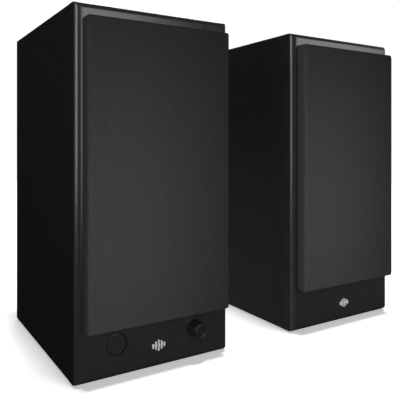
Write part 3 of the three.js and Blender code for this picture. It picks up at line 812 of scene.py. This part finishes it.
def woofer(side):
    axis = axis_at(f"{side}_woofer_cone", FRONT)
    speaker, mover = f"{side}_speaker", f"{side}_woofer_cone"
    woofer_basket(side, axis)
    seats = on_circle(axis, 63.5 * MM, 8, FRONT + 0.05 * MM, start=1 / 16)
    screws(f"{side}_woofer_screws", seats, 2.4 * MM, speaker, "driver_steel")
    cone = turned(f"{side}_cone_body", [
        (19.2, 18.9), (22, 17.6), (28, 14.0), (34, 10.4), (40, 6.8), (46, 3), (48, 2.2), (48, 3.2),
        (46.2, 4.1), (40.4, 8.0), (34.4, 11.6), (28.4, 15.2), (21, 20.3), (21, 24), (19.7, 24), (19.7, 20.2),
    ], axis, PULP, edge=0.3)
    place(cone, mover, "cone_paper", f"{side}_woofer_cone")
    cap = turned(f"{side}_dust_cap", [
        (0, 13), (4, 13.15), (8, 13.75), (12, 14.8), (16, 16.4), (18.4, 17.6), (20.6, 18.0), (21.4, 18.1),
        (20.8, 18.5), (18.2, 18.4), (15.6, 17.3), (12, 15.7), (8, 14.6), (4, 14), (0, 13.9),
    ], axis, PULP, edge=0.3)
    place(cap, mover, "cone_paper")
    bodies = (speaker, mover)
    stretched_ring(f"{side}_surround", roll_profile(), axis, BUTYL, bodies,
                   f"{side}_woofer_surround", inner=48, outer=56, depth=0.8)
    stretched_ring(f"{side}_spider", spider_profile(), axis, SPIDER, bodies,
                   f"{side}_spider", inner=21, outer=42, depth=30)
    repaint(f"{side}_woofer_motor", FERRITE)
    repaint(f"{side}_voice_coil", COPPER)


# ---- Tweeter ----

def tweeter(side):
    axis = axis_at(f"{side}_tweeter_dome", FRONT)
    speaker = f"{side}_speaker"
    plate = turned(f"{side}_tweeter_flare", [
        (14.7, 7.2), (17, 5.2), (20, 3.4), (24, 1.7), (28, 0.6), (31.5, 0.1), (33, 0.5), (34, 0.1), (36, 0),
        (48, 0), (48, 4), (35, 4), (30, 9), (14.7, 9),
    ], axis, PLASTIC, edge=0.5)
    place(plate, speaker, "moulded_black", f"{side}_tweeter_plate")
    dome = turned(f"{side}_dome", [
        (0, 2.6), (3, 2.8), (6, 3.5), (8.6, 4.8), (10.6, 6.5), (12, 8), (12.5, 7.7), (13.2, 7.5), (13.9, 7.8),
        (14.2, 8.2), (14.2, 8.7), (13.4, 8.7), (13.4, 14), (12.6, 14), (12.6, 9.2), (10, 7.1), (6.6, 4.9),
        (3.4, 3.8), (0, 3.4),
    ], axis, SILK, edge=0.2)
    place(dome, f"{side}_tweeter_dome", "dome_silk", f"{side}_tweeter_dome")
    seats = on_circle(axis, 42 * MM, 4, FRONT + 0.05 * MM, start=1 / 8)
    screws(f"{side}_tweeter_screws", seats, 2.2 * MM, speaker, "moulded_black")
    repaint(f"{side}_tweeter_motor", FERRITE)


# ---- Front controls ----

def sensor_window():
    lens = turned("sensor_lens", [
        (0, 0.02), (5, 0.04), (8.5, 0.08), (9.7, 0.15), (10.1, 0.6),
        (10.1, 5.25), (12.6, 5.25), (12.6, 6.5), (0, 6.5),
    ], axis_at("sensor_window", FRONT), SMOKED, edge=0.15)
    place(lens, "active_speaker", "window_smoked", "sensor_window")


def volume_knob():
    low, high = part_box("volume_knob")
    axis = axis_at("volume_knob", low.y)
    length = (high.y - low.y) / MM
    side = turned("knob_sleeve", [
        (6.1, 0.9), (6.85, 0.75), (7.0, 1.4), (8.3, length), (3.3, length),
        (3.3, length - 9.6), (5, length - 9.6), (6.1, 1.4),
    ], axis, KNOB_SIDE, edge=0.15)
    place(side, "volume_knob", "knob_satin", "volume_knob")
    face = turned("knob_face", [
        (0, 0.42), (4, 0.4), (5.7, 0.3), (5.9, 0.05), (6.2, 0), (6.75, 0.35), (6.8, 0.7), (6.05, 0.8),
        (6.05, 1.5), (0, 1.5),
    ], axis, KNOB_FACE, edge=0.15)
    place(face, "volume_knob", "knob_satin")


# ---- Rear of the active speaker ----

def amp_plate():
    low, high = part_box("amp_plate")
    front, back = low.y - 5 * MM, high.y + 5 * MM
    barrel_hole, aux_hole = 5.2 * MM, 3.7 * MM
    holes = [rod(barrel_hole, front, back, barrel, SMALL_ROUND) for barrel in rca_axes()]
    holes.append(rod(aux_hole, front, back, centre_of("aux_jack"), SMALL_ROUND))
    insets = (("optical_socket", -0.4 * MM), ("speaker_terminal_block", 4 * MM), ("power_inlet", 3 * MM))
    for node, inset in insets:
        holes.append(brick(*span(*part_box(node), inset, front, back)))
    panel = skin("amp_panel", slab_loops(low, high, 4 * MM, 0.05 * MM, 0.5 * MM, steps=4), POWDER)
    place(cut(panel, *holes), "active_speaker", "plate_painted", "amp_plate")
    screw_inset, gaps = 5.5 * MM, 3
    xs = (low.x + screw_inset, high.x - screw_inset)
    zs = [low.z + screw_inset + (high.z - low.z - 2 * screw_inset) * i / gaps for i in range(gaps + 1)]
    seats = [Vector((x, high.y, z)) for x in xs for z in zs]
    screws("amp_panel_screws", seats, 2.7 * MM, "active_speaker", "plate_painted", facing_back=True)


def rca_axes():
    """The axes of the two signal jacks, which stand near the ends of their housing."""
    low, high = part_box("rca_jacks")
    inset = 9 * MM
    z = (low.z + high.z) / 2
    return [Vector((x, PLATE_FACE, z)) for x in (low.x + inset, high.x - inset)]


def heat_sink():
    """An extruded bar of fins, with rounded tips and a slope at each fin's foot."""
    low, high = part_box("heat_sink")
    fins, fin, base, foot, draft = 11, 2.0 * MM, 3.0 * MM, 0.8 * MM, 0.02 * MM
    tip, narrowed, steps = fin / 2, 0.98, 4
    pitch = (high.x - low.x - fin) / (fins - 1)
    section = [(low.x, low.y), (high.x, low.y)]
    for i in reversed(range(fins)):
        left = low.x + i * pitch
        for step in range(steps + 1):
            angle = math.pi * step / steps
            x = left + tip + tip * math.cos(angle) * narrowed
            section.append((x, high.y - tip + tip * math.sin(angle)))
        if i:
            next_right = left + fin - pitch
            section.append((left + draft, low.y + base + foot))
            section.append((left - foot, low.y + base))
            section.append((next_right + foot, low.y + base))
            section.append((next_right - draft, low.y + base + foot))
    loops = [[Vector((x, y, z)) for x, y in section] for z in (low.z, high.z)]
    sink_bar = skin("heat_sink_bar", loops, ANODISED)
    bevelled(sink_bar, 0.25 * MM, segments=2, angle=60)
    place(sink_bar, "active_speaker", "sink_anodised", "heat_sink")


def rca_jacks():
    low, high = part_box("rca_jacks")
    reach = (high.y - PLATE_FACE) / MM
    housing = block("rca_housing", low, (high.x, BEHIND_PLATE, high.z), PLASTIC)
    place(housing, "active_speaker", "moulded_black", "rca_jacks")
    for axis, name, colour in zip(rca_axes(), ("red", "white"), (RED_PLASTIC, WHITE_PLASTIC)):
        barrel = turned(f"rca_barrel_{name}", [
            (3.3, 0.6), (4.15, 0.6), (4.15, reach), (3.3, reach), (3.3, 1.2),
        ], axis, GOLD, edge=0.3, segments=SMALL_ROUND)
        place(barrel, "active_speaker", "jack_gold")
        collar = turned(f"rca_collar_{name}", [
            (4.2, -2), (5.0, -2), (5.0, 0.1), (6.2, 0.1), (6.2, 1.1), (4.2, 1.1),
        ], axis, PLASTIC, edge=0.25, segments=SMALL_ROUND)
        place(collar, "active_speaker", "moulded_black")
        core = turned(f"rca_core_{name}", [
            (1.6, reach - 7), (1.6, reach - 0.6), (3.25, reach - 0.6), (3.25, 0.8), (0, 0.8), (0, reach - 7),
        ], axis, colour, edge=0.2, segments=SMALL_ROUND)
        place(core, "active_speaker", "jack_gold")


def optical_socket():
    """A square socket with its shutter shut at the bottom of the mouth."""
    low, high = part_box("optical_socket")
    wall, gap = 1.6 * MM, 0.2 * MM
    bottom, shutter_back = high.y - 7.5 * MM, high.y - 7.4 * MM
    shell = block("optical_shell", low, high, PLASTIC, 0.35 * MM)
    mouth = brick(*span(low, high, wall, bottom, high.y + wall))
    place(cut(shell, mouth), "active_speaker", "moulded_black", "optical_socket")
    corners = span(low, high, wall + gap, shutter_back, shutter_back + MM)
    place(block("optical_shutter", *corners, PLASTIC), "active_speaker", "moulded_black")


def aux_jack():
    low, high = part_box("aux_jack")
    body = block("aux_body", low, (high.x, BEHIND_PLATE, high.z), PLASTIC)
    place(body, "active_speaker", "moulded_black", "aux_jack")
    nut = turned("aux_collar", [
        (1.8, -3), (3.2, -3), (3.2, 0.3), (5.4, 0.3), (5.4, 1.1), (3.4, 1.5), (1.8, 1.5),
    ], axis_at("aux_jack", PLATE_FACE), STEEL, edge=0.2, segments=SMALL_ROUND)
    place(nut, "active_speaker", "shaft_steel")


def terminal_block():
    low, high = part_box("speaker_terminal_block")
    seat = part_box("active_terminal_cap_red")[0].y - 0.5 * MM
    base_low = (low.x, PLATE_FACE + 0.25 * MM, low.z)
    base = block("terminal_base", base_low, (high.x, seat, high.z), PLASTIC, 0.8 * MM)
    place(base, "active_speaker", "moulded_black", "speaker_terminal_block")
    posts("active", seat, high.y)


def posts(side, seat, end):
    """A threaded post for each cap, from seat to end."""
    length, turns_of_thread = (end - seat) / MM, 11
    steps = 2 * turns_of_thread
    thread = [(2.4 if i % 2 else 2.15, length * i / steps) for i in range(steps + 1)]
    for colour in ("red", "black"):
        axis = axis_at(f"{side}_terminal_cap_{colour}", seat)
        profile = [(0, 0), *thread, (0, length)]
        post = turned(f"{side}_post_{colour}", profile, axis, GOLD, edge=0, segments=32)
        place(post, f"{side}_speaker", "jack_gold")


def terminal_caps(side):
    for colour, material, slot in (("red", RED_PLASTIC, "cap_red"), ("black", PLASTIC, "moulded_black")):
        node = f"{side}_terminal_cap_{colour}"
        low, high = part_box(node)
        cap = knurled_cap(f"{side}_cap_{colour}", axis_at(node, low.y), (high.y - low.y) / MM, material)
        place(cap, f"{side}_{colour}_cap", slot, node)


def knurled_cap(name, axis, length, material):
    """A fluted cap, bored from the seat side, with a shallow dished end."""
    return turned(name, [
        (0, length - 2), (2.8, length - 2), (2.8, 0), (5.8, 0), (5.8, 1.2), (7, 1.6), (7, length - 1.2),
        (6.2, length), (3, length), (2.6, length - 0.8), (0, length - 0.8),
    ], axis, material, edge=0.35, teeth=18, knurl=0.55, knurl_from=6.5, segments=144)


def power_inlet():
    """A mains socket with two pins in a round-ended recess, beside the switch's frame."""
    low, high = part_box("power_inlet")
    rocker = centre_of("power_rocker")
    middle = (low + high) / 2
    inlet = Vector((2 * middle.x - rocker.x, middle.y, middle.z))
    flange = brick((low.x, PLATE_FACE + 0.25 * MM, low.z), high, "inlet_unit", PLASTIC)
    bevelled(flange, 1.2 * MM, segments=4)
    body = brick(*span(low, high, 3.5 * MM, low.y, high.y - MM), "body", PLASTIC)
    unit = combine(flange, "UNION", [body])
    socket = outline(20 * MM, 12 * MM, 5.9 * MM)
    rear, front = high.y - 14 * MM, high.y + 2 * MM
    recess = skin("cutter", [loop_at(socket, inlet, y) for y in (rear, front)], None)
    across, up, well_rear = 7.5 * MM, 10.8 * MM, high.y - 13 * MM
    well = brick((rocker.x - across, well_rear, middle.z - up), (rocker.x + across, front, middle.z + up))
    place(cut(unit, recess, well), "active_speaker", "moulded_black", "power_inlet")
    profile = [(0, -1), (1.2, -1), (1.2, 10.5), (0.6, 11.7), (0, 12)]
    for i, offset in enumerate((-4.5 * MM, 4.5 * MM)):
        axis = Vector((inlet.x + offset, rear, middle.z))
        pin = turned(f"inlet_pin_{i + 1}", profile, axis, STEEL, edge=0.3, segments=32)
        place(pin, "active_speaker", "shaft_steel")


def power_rocker():
    """A dished rocker with a raised bar at one end and a ring at the other, tilted to off."""
    low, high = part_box("power_rocker")
    pivot = Vector((centre_of("power_rocker").x, PLATE_FACE - MM, centre_of("power_inlet").z))
    off_tilt = math.radians(8)
    seat = Matrix.Translation(pivot) @ Matrix.Rotation(off_tilt, 4, "X")
    half, dip, dish, steps = 9.3, 2.8, 1.6, 12
    along = [2 * i / steps - 1 for i in range(steps + 1)]
    top = [(half * share, dip + dish * share ** 2) for share in along]
    section = [(-half, 0.4), *top, (half, 0.4), (4, -4), (-4, -4)]
    half_width = (high.x - low.x) / 2
    loops = [[Vector((x, y * MM, z * MM)) for z, y in section] for x in (-half_width, half_width)]
    rocker = skin("switch_rocker", loops, PLASTIC)
    bevelled(rocker, 0.5 * MM, segments=3, angle=40)
    bar_low, bar_high = Vector((-0.35, 3.2, 4.2)) * MM, Vector((0.35, 3.9, 7.4)) * MM
    bar = block("switch_bar", bar_low, bar_high, WHITE_PLASTIC, 0.1 * MM)
    profile = [(1.3, 3.1), (1.9, 3.1), (1.9, 3.75), (1.3, 3.75)]
    ring_at = Vector((0, 0, -5.6 * MM))
    ring = turned("switch_ring", profile, ring_at, WHITE_PLASTIC, edge=0.1, segments=SMALL_ROUND)
    for piece, replaced in ((rocker, ["power_rocker"]), (bar, []), (ring, [])):
        piece.data.transform(seat)
        place(piece, "power_rocker", "moulded_black", *replaced)


# ---- Rear of the passive speaker ----

def terminal_cup():
    """A moulded cup let into the back, with drafted walls and a rounded rim."""
    low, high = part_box("terminal_cup")
    middle = (low + high) / 2
    thickness, half = 2.5 * MM, 32 * MM
    cover_low = Vector((low.x, high.y - thickness, low.z))
    cover = skin("cup_cover", slab_loops(cover_low, high, 6 * MM, 0.05 * MM, 0.9 * MM, steps=4), PLASTIC)
    bowl = brick(*span(middle, middle, -half, low.y, high.y - MM), "bowl", PLASTIC)
    unit = combine(cover, "UNION", [bowl])
    floor = low.y + thickness
    levels = ((55, 5, floor), (59, 7, high.y - 2 * MM), (61, 8, high.y + 0.01 * MM))
    inner = [loop_at(outline(width * MM, width * MM, corner * MM), middle, y) for width, corner, y in levels]
    cut(unit, skin("cutter", inner, None))
    unit.name = "terminal_bowl"
    place(unit, "passive_speaker", "moulded_black", "terminal_cup")
    posts("passive", floor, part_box("passive_terminal_cap_red")[0].y + 10.5 * MM)
    reach = high.x - middle.x - 5 * MM
    corners = [(sx * reach, sz * reach) for sx in (-1, 1) for sz in (-1, 1)]
    seats = loop_at(corners, middle, high.y)
    screws("cup_screws", seats, 2.6 * MM, "passive_speaker", "moulded_black", facing_back=True)


# ---- Stage ----

WORLD_GLOW = 0.03
SEEN_GLOW = 1.05


def stage():
    """A white floor under a white world, a rig of lamps for each speaker, and fill for the other sides."""
    reach = 12
    corners = [(-reach, -reach, 0), (reach, -reach, 0), (reach, reach, 0), (-reach, reach, 0)]
    floor = mesh_piece("floor", corners, [(0, 1, 2, 3)], floor_paint())
    floor.visible_glossy = False
    floor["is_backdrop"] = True
    overhead()
    rig("active", 0, 0.38, 4.7, 7.0)
    rig("passive", 25, 0.5, 4.0, 16.0)
    side_lift()
    softbox("back_fill", (0.7, 1.9, 1.3), (0.0, 0.1, 0.2), (1.4, 1.2), 28.0)
    softbox("right_fill", (2.2, 0.3, 1.1), (0.2, 0.0, 0.2), (1.2, 1.2), 3.0)
    softbox("back_left_card", (-1.3, 2.3, 0.9), (-0.2, 0.0, 0.2), (1.6, 1.6), 0.25)
    world = bpy.data.worlds.new("studio")
    bpy.context.scene.world = world
    world.use_nodes = True
    tree = world.node_tree
    paths = tree.nodes.new("ShaderNodeLightPath").outputs["Is Camera Ray"]
    strength = remap(tree, paths, WORLD_GLOW, SEEN_GLOW, 0, 1)
    background = tree.nodes["Background"]
    tree.links.new(strength, background.inputs["Strength"])
    background.inputs["Color"].default_value = (1, 1, 1, 1)
    bpy.context.scene.view_settings.view_transform = "Standard"


def floor_paint():
    paint, _, shader = principled("floor_paint")
    for socket, value in (("Base Color", (0.8, 0.8, 0.8, 1)), ("Roughness", 0.9), ("Specular IOR Level", 0.0),
                          ("Emission Color", (1, 1, 1, 1)), ("Emission Strength", 0.5)):
        shader.inputs[socket].default_value = value
    return paint


def overhead():
    """A sun nearly straight above, which lights the floor and leaves no glare."""
    lamp = bpy.data.lights.new("overhead", "SUN")
    lamp.energy = 2.2
    lamp.angle = math.radians(7)
    holder = add_object("overhead", lamp)
    holder.rotation_euler = (math.radians(6), math.radians(2), 0)
    holder.visible_glossy = False


def rig(side, turn, width, sheen, flank):
    """Lamps for one speaker only. The front, crease and edge lamps light its hard pieces, and the flank and
    cloth lamps its cloth. Headings are in degrees from the speaker's front towards +X, and turn swings the
    front and crease lamps after the camera's line of sight. width and sheen are the front lamp's width and
    strength, and flank is the flank lamp's strength."""
    inward = 0.06
    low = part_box(f"{side}_cabinet")[0]
    corner = Vector((low.x, FRONT, 0))
    cloth, hard = receivers(side)
    for name, heading, distance, height, size, strength, lit in (
            ("front_glow", 18 + turn, 0.84, 0.42, (width, 0.72), sheen, hard),
            ("crease_glow", turn - 9, 0.84, 0.42, (0.24, 0.72), 3.5, hard),
            ("edge_glow", -77, 0.8, 0.57, (0.3, 0.95), 5.9, hard),
            ("flank_glow", -84, 0.8, 0.2, (0.3, 0.5), flank, cloth),
            ("cloth_glow", 4, 0.45, 0.14, (0.1, 0.3), 3.1, cloth)):
        angle = math.radians(heading)
        at = corner + Vector((math.sin(angle), -math.cos(angle), 0)) * distance
        at.z = height
        power = strength * math.pi * size[0] * size[1]
        narrow = name == "cloth_glow"
        aim = Vector((at.x, 0, height)) if narrow else corner + Vector((inward, 0, height))
        lamp = softbox(f"{side}_{name}", at, aim, size, power)
        lamp.light_linking.receiver_collection = lit
        if narrow:
            lamp.data.spread = math.radians(46)
        if lit is cloth:
            lamp.visible_glossy = False
            lamp.light_linking.blocker_collection = lit


def receivers(side):
    """The speaker's cloth, and all its other pieces."""
    cloth, hard = (bpy.data.collections.new(f"{side}_{name}") for name in ("cloth_lit", "hard_lit"))
    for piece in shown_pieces():
        bodies = body_of(piece) or []
        passive = any(body.startswith("passive") for body in bodies)
        if passive != (side == "passive"):
            continue
        group = cloth if piece.name.endswith("_cloth") else hard
        group.objects.link(piece)
    return cloth, hard


def side_lift():
    """Lifts the passive speaker's inner side towards its foot, as a bright floor between the two would."""
    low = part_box("passive_cabinet")[0]
    size, strength = (0.3, 0.1), 40
    power = strength * math.pi * size[0] * size[1]
    lamp = softbox("passive_side_lift", (low.x - 0.35, 0, 0.02), (low.x, 0, 0.05), size, power)
    lamp.visible_glossy = False
    pieces = bpy.data.collections["passive_hard_lit"]
    lamp.light_linking.receiver_collection = pieces
    lamp.light_linking.blocker_collection = pieces


def softbox(name, at, target, size, power):
    lamp = bpy.data.lights.new(name, "AREA")
    lamp.shape = "RECTANGLE"
    lamp.size, lamp.size_y = size
    lamp.energy = power
    holder = add_object(name, lamp)
    holder.location = at
    holder.rotation_euler = (Vector(target) - Vector(at)).to_track_quat("-Z", "Y").to_euler()
    holder.visible_camera = False
    return holder


def camera():
    """Level, in front and to the left of the active speaker, with the picture slid down.
    Its place, heading, lens and shift are fitted to the outlines of both cabinets."""
    leftward, forward, height = 0.1543, 0.4600, 0.2238
    heading = math.radians(32.05)
    lens = bpy.data.cameras.new("camera")
    lens.lens = 46.04
    lens.sensor_width = 36
    lens.shift_y = -0.1462
    lens.clip_start, lens.clip_end = 0.05, 60
    holder = add_object("camera", lens)
    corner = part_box("active_cabinet")[0]
    holder.location = (corner.x - leftward, FRONT - forward, height)
    holder.rotation_euler = (math.pi / 2, 0, -heading)
    bpy.context.scene.camera = holder


# ---- The pair ----

def speaker(side, opening):
    cabinet(side, opening)
    baffle(side)
    badge(side)
    feet(side)
    port(side)
    grille(side)
    woofer(side)
    tweeter(side)
    terminal_caps(side)


def hidden_parts():
    for node in ("control_board", "amp_board", "power_board", "crossover_board"):
        repaint(node, BOARD)
    for node in ("encoder_body", "encoder_plunger"):
        repaint(node, PLASTIC)
    repaint("encoder_shaft", STEEL)


camera()
speaker("active", rear_opening("amp_plate", 8 * MM))
speaker("passive", rear_opening("terminal_cup", 9 * MM))
sensor_window()
volume_knob()
amp_plate()
heat_sink()
rca_jacks()
optical_socket()
aux_jack()
terminal_block()
power_inlet()
power_rocker()
terminal_cup()
hidden_parts()
stage()
